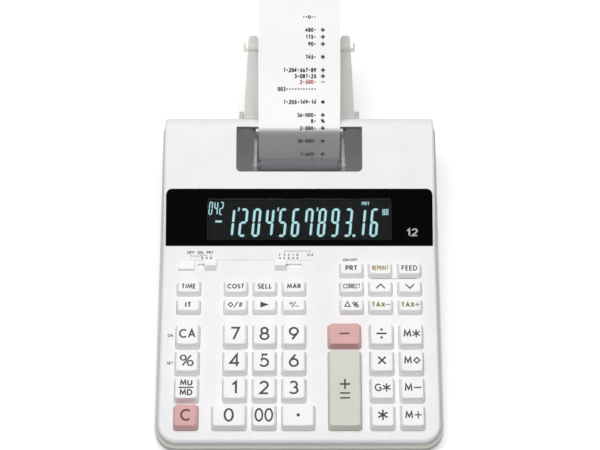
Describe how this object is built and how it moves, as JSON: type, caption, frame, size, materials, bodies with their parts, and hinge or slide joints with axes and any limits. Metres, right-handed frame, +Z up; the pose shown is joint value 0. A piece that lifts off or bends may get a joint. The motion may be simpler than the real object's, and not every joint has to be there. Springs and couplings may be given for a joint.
{
  "type": "printing desk calculator",
  "caption": "Sloped desk calculator with sprung keys, slide switches, a tilted dark display, and a printer under a hinged smoked cover, fed from a paper roll on folding arms.",
  "frame": {"origin": "on the desk, under the middle of the whole object's box, roll included", "axes": "+X to the user's right, +Y from the front edge to the paper roll, +Z up"},
  "size_m": [0.195, 0.313, 0.1046],
  "materials": {
    "case_white": "fine satin moulding",
    "case_grey": "fine satin moulding",
    "key_white": "satin moulding",
    "key_grey": "satin moulding",
    "key_pink": "satin moulding",
    "window_black": "polished",
    "lcd": "dark display",
    "cover_smoke": "clear smoked",
    "rubber_dark": "matt",
    "rubber_pale": "matt",
    "board": "coated laminate",
    "frame_dark": "moulded",
    "drum": "moulded",
    "ink": "inked felt",
    "paper": "uncoated"
  },
  "bodies": {
    "case": {"lower_case": "case_grey", "upper_case": "case_white", "rubber_feet": "rubber_dark", "main_board": "board", "key_mat": "rubber_pale", "display_window": "window_black", "lcd_panel": "lcd", "printer_frame": "frame_dark", "paper_tape": "paper"},
    "printer_cover": {"printer_cover": "cover_smoke"},
    "paper_holder": {"paper_holder": "case_grey"},
    "paper_roll": {"paper_roll": "paper"},
    "power_knob": {"power_knob": "case_white"},
    "decimal_knob": {"decimal_knob": "case_white"},
    "platen_roller": {"platen_roller": "rubber_dark"},
    "print_drum": {"print_drum": "drum"},
    "ink_roller": {"ink_roller": "ink"},
    "key_clear": {"key_clear": "key_pink"},
    "key_mark_up": {"key_mark_up": "key_white"},
    "key_percent": {"key_percent": "key_white"},
    "key_clear_all": {"key_clear_all": "key_white"},
    "key_zero": {"key_zero": "key_white"},
    "key_double_zero": {"key_double_zero": "key_white"},
    "key_point": {"key_point": "key_white"},
    "key_one": {"key_one": "key_white"},
    "key_two": {"key_two": "key_white"},
    "key_three": {"key_three": "key_white"},
    "key_four": {"key_four": "key_white"},
    "key_five": {"key_five": "key_white"},
    "key_six": {"key_six": "key_white"},
    "key_seven": {"key_seven": "key_white"},
    "key_eight": {"key_eight": "key_white"},
    "key_nine": {"key_nine": "key_white"},
    "key_plus": {"key_plus": "key_grey"},
    "key_minus": {"key_minus": "key_pink"},
    "key_total": {"key_total": "key_white"},
    "key_grand_total": {"key_grand_total": "key_white"},
    "key_multiply": {"key_multiply": "key_white"},
    "key_divide": {"key_divide": "key_white"},
    "key_memory_plus": {"key_memory_plus": "key_white"},
    "key_memory_minus": {"key_memory_minus": "key_white"},
    "key_memory_subtotal": {"key_memory_subtotal": "key_white"},
    "key_memory_total": {"key_memory_total": "key_white"},
    "key_item": {"key_item": "key_white"},
    "key_time": {"key_time": "key_white"},
    "key_sub_total": {"key_sub_total": "key_white"},
    "key_cost": {"key_cost": "key_white"},
    "key_backspace": {"key_backspace": "key_white"},
    "key_sell": {"key_sell": "key_white"},
    "key_sign": {"key_sign": "key_white"},
    "key_margin": {"key_margin": "key_white"},
    "key_change": {"key_change": "key_white"},
    "key_correct": {"key_correct": "key_white"},
    "key_print": {"key_print": "key_white"},
    "key_tax_minus": {"key_tax_minus": "key_white"},
    "key_up": {"key_up": "key_white"},
    "key_reprint": {"key_reprint": "key_white"},
    "key_tax_plus": {"key_tax_plus": "key_white"},
    "key_down": {"key_down": "key_white"},
    "key_feed": {"key_feed": "key_white"}
  },
  "joints": [
    {"name": "cover_hinge", "type": "hinge", "parent": "case", "child": "printer_cover", "pos_m": [0, 0.06344, 0.06099], "axis": [-1, 0, 0], "range_deg": [0, 80]},
    {"name": "holder_fold", "type": "hinge", "parent": "case", "child": "paper_holder", "pos_m": [0, 0.088, 0.04099], "axis": [1, 0, 0], "range_deg": [0, 55], "deforming": ["paper_tape"]},
    {"name": "power_slide", "type": "slide", "parent": "case", "child": "power_knob", "axis": [1, 0, 0], "range_m": [-0.006, 0]},
    {"name": "decimal_slide", "type": "slide", "parent": "case", "child": "decimal_knob", "axis": [1, 0, 0], "range_m": [0, 0.012]},
    {"name": "roll_spin", "type": "hinge", "parent": "paper_holder", "child": "paper_roll", "pos_m": [0, 0.1305, 0.06899], "axis": [1, 0, 0], "continuous": true},
    {"name": "platen_spin", "type": "hinge", "parent": "case", "child": "platen_roller", "pos_m": [0, 0.0599, 0.03804], "axis": [1, 0, 0], "continuous": true},
    {"name": "drum_spin", "type": "hinge", "parent": "case", "child": "print_drum", "pos_m": [0, 0.0473, 0.03804], "axis": [1, 0, 0], "continuous": true},
    {"name": "ink_spin", "type": "hinge", "parent": "case", "child": "ink_roller", "pos_m": [0, 0.04458, 0.04694], "axis": [1, 0, 0], "continuous": true},
    {"name": "clear_press", "type": "slide", "parent": "case", "child": "key_clear", "axis": [0, 0.1426, -0.9898], "range_m": [0, 0.0022], "stiffness_N_per_m": 100, "springref_m": -0.003},
    {"name": "mark_up_press", "type": "slide", "parent": "case", "child": "key_mark_up", "axis": [0, 0.1426, -0.9898], "range_m": [0, 0.0022], "stiffness_N_per_m": 100, "springref_m": -0.003},
    {"name": "percent_press", "type": "slide", "parent": "case", "child": "key_percent", "axis": [0, 0.1426, -0.9898], "range_m": [0, 0.0022], "stiffness_N_per_m": 100, "springref_m": -0.003},
    {"name": "clear_all_press", "type": "slide", "parent": "case", "child": "key_clear_all", "axis": [0, 0.1426, -0.9898], "range_m": [0, 0.0022], "stiffness_N_per_m": 100, "springref_m": -0.003},
    {"name": "zero_press", "type": "slide", "parent": "case", "child": "key_zero", "axis": [0, 0.1426, -0.9898], "range_m": [0, 0.0022], "stiffness_N_per_m": 100, "springref_m": -0.003},
    {"name": "double_zero_press", "type": "slide", "parent": "case", "child": "key_double_zero", "axis": [0, 0.1426, -0.9898], "range_m": [0, 0.0022], "stiffness_N_per_m": 100, "springref_m": -0.003},
    {"name": "point_press", "type": "slide", "parent": "case", "child": "key_point", "axis": [0, 0.1426, -0.9898], "range_m": [0, 0.0022], "stiffness_N_per_m": 100, "springref_m": -0.003},
    {"name": "one_press", "type": "slide", "parent": "case", "child": "key_one", "axis": [0, 0.1426, -0.9898], "range_m": [0, 0.0022], "stiffness_N_per_m": 100, "springref_m": -0.003},
    {"name": "two_press", "type": "slide", "parent": "case", "child": "key_two", "axis": [0, 0.1426, -0.9898], "range_m": [0, 0.0022], "stiffness_N_per_m": 100, "springref_m": -0.003},
    {"name": "three_press", "type": "slide", "parent": "case", "child": "key_three", "axis": [0, 0.1426, -0.9898], "range_m": [0, 0.0022], "stiffness_N_per_m": 100, "springref_m": -0.003},
    {"name": "four_press", "type": "slide", "parent": "case", "child": "key_four", "axis": [0, 0.1426, -0.9898], "range_m": [0, 0.0022], "stiffness_N_per_m": 100, "springref_m": -0.003},
    {"name": "five_press", "type": "slide", "parent": "case", "child": "key_five", "axis": [0, 0.1426, -0.9898], "range_m": [0, 0.0022], "stiffness_N_per_m": 100, "springref_m": -0.003},
    {"name": "six_press", "type": "slide", "parent": "case", "child": "key_six", "axis": [0, 0.1426, -0.9898], "range_m": [0, 0.0022], "stiffness_N_per_m": 100, "springref_m": -0.003},
    {"name": "seven_press", "type": "slide", "parent": "case", "child": "key_seven", "axis": [0, 0.1426, -0.9898], "range_m": [0, 0.0022], "stiffness_N_per_m": 100, "springref_m": -0.003},
    {"name": "eight_press", "type": "slide", "parent": "case", "child": "key_eight", "axis": [0, 0.1426, -0.9898], "range_m": [0, 0.0022], "stiffness_N_per_m": 100, "springref_m": -0.003},
    {"name": "nine_press", "type": "slide", "parent": "case", "child": "key_nine", "axis": [0, 0.1426, -0.9898], "range_m": [0, 0.0022], "stiffness_N_per_m": 100, "springref_m": -0.003},
    {"name": "plus_press", "type": "slide", "parent": "case", "child": "key_plus", "axis": [0, 0.1426, -0.9898], "range_m": [0, 0.0022], "stiffness_N_per_m": 100, "springref_m": -0.003},
    {"name": "minus_press", "type": "slide", "parent": "case", "child": "key_minus", "axis": [0, 0.1426, -0.9898], "range_m": [0, 0.0022], "stiffness_N_per_m": 100, "springref_m": -0.003},
    {"name": "total_press", "type": "slide", "parent": "case", "child": "key_total", "axis": [0, 0.1426, -0.9898], "range_m": [0, 0.0022], "stiffness_N_per_m": 100, "springref_m": -0.003},
    {"name": "grand_total_press", "type": "slide", "parent": "case", "child": "key_grand_total", "axis": [0, 0.1426, -0.9898], "range_m": [0, 0.0022], "stiffness_N_per_m": 100, "springref_m": -0.003},
    {"name": "multiply_press", "type": "slide", "parent": "case", "child": "key_multiply", "axis": [0, 0.1426, -0.9898], "range_m": [0, 0.0022], "stiffness_N_per_m": 100, "springref_m": -0.003},
    {"name": "divide_press", "type": "slide", "parent": "case", "child": "key_divide", "axis": [0, 0.1426, -0.9898], "range_m": [0, 0.0022], "stiffness_N_per_m": 100, "springref_m": -0.003},
    {"name": "memory_plus_press", "type": "slide", "parent": "case", "child": "key_memory_plus", "axis": [0, 0.1426, -0.9898], "range_m": [0, 0.0022], "stiffness_N_per_m": 100, "springref_m": -0.003},
    {"name": "memory_minus_press", "type": "slide", "parent": "case", "child": "key_memory_minus", "axis": [0, 0.1426, -0.9898], "range_m": [0, 0.0022], "stiffness_N_per_m": 100, "springref_m": -0.003},
    {"name": "memory_subtotal_press", "type": "slide", "parent": "case", "child": "key_memory_subtotal", "axis": [0, 0.1426, -0.9898], "range_m": [0, 0.0022], "stiffness_N_per_m": 100, "springref_m": -0.003},
    {"name": "memory_total_press", "type": "slide", "parent": "case", "child": "key_memory_total", "axis": [0, 0.1426, -0.9898], "range_m": [0, 0.0022], "stiffness_N_per_m": 100, "springref_m": -0.003},
    {"name": "item_press", "type": "slide", "parent": "case", "child": "key_item", "axis": [0, 0.1426, -0.9898], "range_m": [0, 0.0022], "stiffness_N_per_m": 100, "springref_m": -0.003},
    {"name": "time_press", "type": "slide", "parent": "case", "child": "key_time", "axis": [0, 0.1426, -0.9898], "range_m": [0, 0.0022], "stiffness_N_per_m": 100, "springref_m": -0.003},
    {"name": "sub_total_press", "type": "slide", "parent": "case", "child": "key_sub_total", "axis": [0, 0.1426, -0.9898], "range_m": [0, 0.0022], "stiffness_N_per_m": 100, "springref_m": -0.003},
    {"name": "cost_press", "type": "slide", "parent": "case", "child": "key_cost", "axis": [0, 0.1426, -0.9898], "range_m": [0, 0.0022], "stiffness_N_per_m": 100, "springref_m": -0.003},
    {"name": "backspace_press", "type": "slide", "parent": "case", "child": "key_backspace", "axis": [0, 0.1426, -0.9898], "range_m": [0, 0.0022], "stiffness_N_per_m": 100, "springref_m": -0.003},
    {"name": "sell_press", "type": "slide", "parent": "case", "child": "key_sell", "axis": [0, 0.1426, -0.9898], "range_m": [0, 0.0022], "stiffness_N_per_m": 100, "springref_m": -0.003},
    {"name": "sign_press", "type": "slide", "parent": "case", "child": "key_sign", "axis": [0, 0.1426, -0.9898], "range_m": [0, 0.0022], "stiffness_N_per_m": 100, "springref_m": -0.003},
    {"name": "margin_press", "type": "slide", "parent": "case", "child": "key_margin", "axis": [0, 0.1426, -0.9898], "range_m": [0, 0.0022], "stiffness_N_per_m": 100, "springref_m": -0.003},
    {"name": "change_press", "type": "slide", "parent": "case", "child": "key_change", "axis": [0, 0.1426, -0.9898], "range_m": [0, 0.0022], "stiffness_N_per_m": 100, "springref_m": -0.003},
    {"name": "correct_press", "type": "slide", "parent": "case", "child": "key_correct", "axis": [0, 0.1426, -0.9898], "range_m": [0, 0.0022], "stiffness_N_per_m": 100, "springref_m": -0.003},
    {"name": "print_press", "type": "slide", "parent": "case", "child": "key_print", "axis": [0, 0.1426, -0.9898], "range_m": [0, 0.0022], "stiffness_N_per_m": 100, "springref_m": -0.003},
    {"name": "tax_minus_press", "type": "slide", "parent": "case", "child": "key_tax_minus", "axis": [0, 0.1426, -0.9898], "range_m": [0, 0.0022], "stiffness_N_per_m": 100, "springref_m": -0.003},
    {"name": "up_press", "type": "slide", "parent": "case", "child": "key_up", "axis": [0, 0.1426, -0.9898], "range_m": [0, 0.0022], "stiffness_N_per_m": 100, "springref_m": -0.003},
    {"name": "reprint_press", "type": "slide", "parent": "case", "child": "key_reprint", "axis": [0, 0.1426, -0.9898], "range_m": [0, 0.0022], "stiffness_N_per_m": 100, "springref_m": -0.003},
    {"name": "tax_plus_press", "type": "slide", "parent": "case", "child": "key_tax_plus", "axis": [0, 0.1426, -0.9898], "range_m": [0, 0.0022], "stiffness_N_per_m": 100, "springref_m": -0.003},
    {"name": "down_press", "type": "slide", "parent": "case", "child": "key_down", "axis": [0, 0.1426, -0.9898], "range_m": [0, 0.0022], "stiffness_N_per_m": 100, "springref_m": -0.003},
    {"name": "feed_press", "type": "slide", "parent": "case", "child": "key_feed", "axis": [0, 0.1426, -0.9898], "range_m": [0, 0.0022], "stiffness_N_per_m": 100, "springref_m": -0.003}
  ],
  "couplings": [
    {"joint": "platen_spin", "follows": "roll_spin", "ratio": 4},
    {"joint": "ink_spin", "follows": "drum_spin", "ratio": -1.25}
  ]
}
